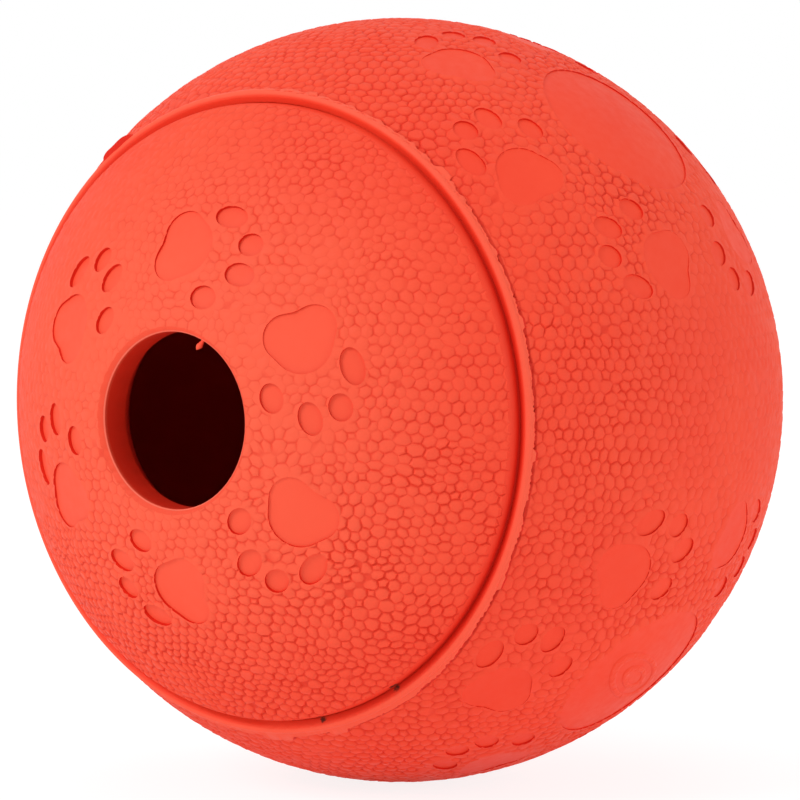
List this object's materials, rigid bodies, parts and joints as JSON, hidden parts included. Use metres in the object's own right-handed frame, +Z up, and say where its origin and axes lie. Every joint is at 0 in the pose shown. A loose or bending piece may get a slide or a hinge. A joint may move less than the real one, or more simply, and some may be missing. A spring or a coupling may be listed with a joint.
{
  "type": "treat dispensing ball",
  "caption": "Hollow rubber pet ball with a pebbled skin and sunk paw prints. Treats go in behind a push-in cap and drop out through the cap's round hole as the ball rolls.",
  "frame": {"origin": "centre of the ball", "axes": "-Y out of the treat hole, along the axis that the cap pulls out on; +Z up"},
  "size_m": [0.07, 0.0689, 0.07],
  "materials": {
    "pebbled_rubber": "matte, pebbled",
    "smooth_rubber": "matte, smooth"
  },
  "bodies": {
    "ball": {"rear_shell": "pebbled_rubber"},
    "ring": {"seam_ring": "smooth_rubber"},
    "cap": {"front_cap": "pebbled_rubber"}
  },
  "joints": [
    {"name": "cap_pull", "type": "slide", "parent": "ball", "child": "ring", "axis": [0, -1, 0], "range_m": [0, 0.045]},
    {"name": "cap_turn", "type": "hinge", "parent": "ring", "child": "cap", "pos_m": [0, 0, 0], "axis": [0, -1, 0], "continuous": true}
  ]
}
